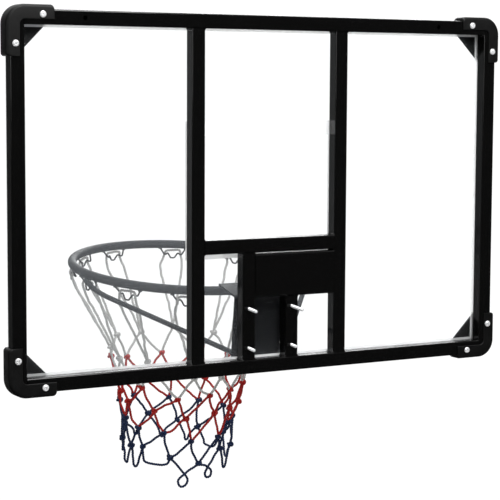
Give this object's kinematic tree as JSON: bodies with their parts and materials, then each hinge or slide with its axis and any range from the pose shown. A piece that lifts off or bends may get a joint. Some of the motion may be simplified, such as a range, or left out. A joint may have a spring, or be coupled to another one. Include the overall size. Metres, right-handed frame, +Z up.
{
  "type": "basketball backboard",
  "caption": "Clear-panel basketball backboard: welded tube frame, corner caps, and a rim with a knotted net that rocks on its pole bolts until it is clamped.",
  "frame": {"origin": "middle of the four pole studs, on the back face of the mount posts", "axes": "+Z up, +Y out of the back towards the pole, so the playing face looks along -Y; +X is the left side as seen from behind"},
  "size_m": [1.06, 0.6356, 0.9524],
  "materials": {
    "frame_paint": "gloss black paint on steel tube",
    "clear_sheet": "clear polished sheet",
    "white_print": "white screen print",
    "cap_plastic": "matt black moulded plastic",
    "zinc": "bright zinc plating",
    "rim_paint": "slate grey paint on steel",
    "white_cord": "white twine",
    "red_cord": "red twine",
    "blue_cord": "navy twine"
  },
  "bodies": {
    "board": {"top_rail": "frame_paint", "bottom_rail": "frame_paint", "left_rail": "frame_paint", "right_rail": "frame_paint", "left_mullion": "frame_paint", "right_mullion": "frame_paint", "cross_rail": "frame_paint", "left_mount_post": "frame_paint", "right_mount_post": "frame_paint", "web_plate": "frame_paint", "clear_sheet": "clear_sheet", "border_print": "white_print", "target_print": "white_print", "top_left_cap": "cap_plastic", "top_right_cap": "cap_plastic", "bottom_left_cap": "cap_plastic", "bottom_right_cap": "cap_plastic", "cap_bolts": "zinc", "cap_nuts": "zinc", "rim_bolts": "zinc"},
    "rim": {"rim_bracket": "rim_paint", "rim_ring": "rim_paint", "left_brace": "rim_paint", "right_brace": "rim_paint", "net_hooks": "rim_paint", "net_white_loops": "white_cord", "net_red_rows": "red_cord", "net_blue_row": "blue_cord", "net_bottom_loops": "blue_cord"}
  },
  "joints": [
    {"name": "rim_tilt", "type": "hinge", "parent": "board", "child": "rim", "pos_m": [0, -0.0343, 0.0547], "axis": [1, 0, 0], "range_deg": [0, 6.2]}
  ]
}
